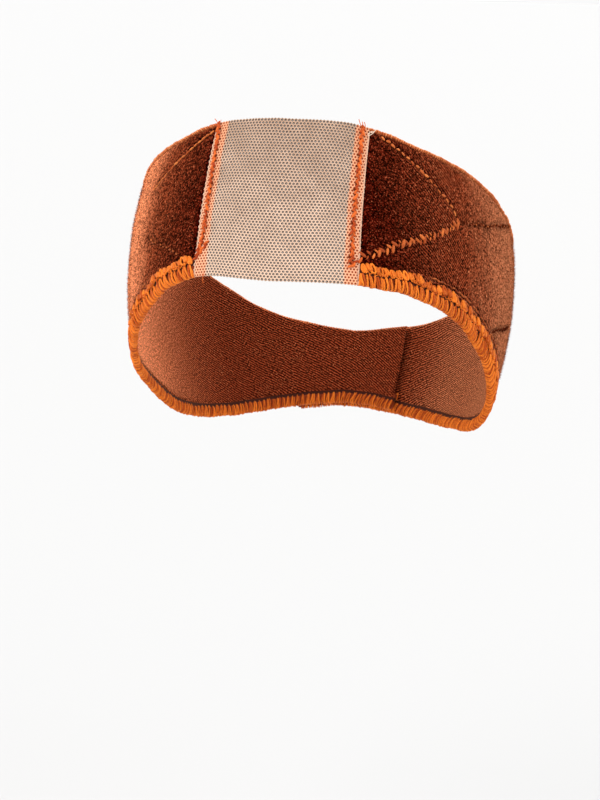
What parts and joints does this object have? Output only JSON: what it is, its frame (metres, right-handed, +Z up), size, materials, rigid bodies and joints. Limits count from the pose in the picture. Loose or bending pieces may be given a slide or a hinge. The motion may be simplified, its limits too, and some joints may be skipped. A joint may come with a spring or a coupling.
{
  "type": "wig grip band",
  "caption": "Stretch velvet wig grip band in its worn loop, with a fine net window at the forehead, overlocked lower edge and overlapped nape straps.",
  "frame": {"origin": "middle of the head opening, where the head that holds the band would be", "axes": "+Z up, -Y towards the forehead that the net window covers, +X to the viewer's right as seen from the front"},
  "size_m": [0.1505, 0.1902, 0.1354],
  "materials": {
    "net": "matte",
    "seam_allowance": "matte",
    "velvet": "matte",
    "overlock_thread": "matte",
    "hook_and_loop": "matte"
  },
  "bodies": {
    "root": {"lace_panel": "net", "seam_strip_left": "seam_allowance", "seam_strip_right": "seam_allowance", "velvet_side_left": "velvet", "velvet_side_right": "velvet", "lower_edging_left": "overlock_thread", "lower_edging_right": "overlock_thread", "upper_edging_left": "overlock_thread", "upper_edging_right": "overlock_thread", "closure_patch": "hook_and_loop"}
  },
  "joints": []
}
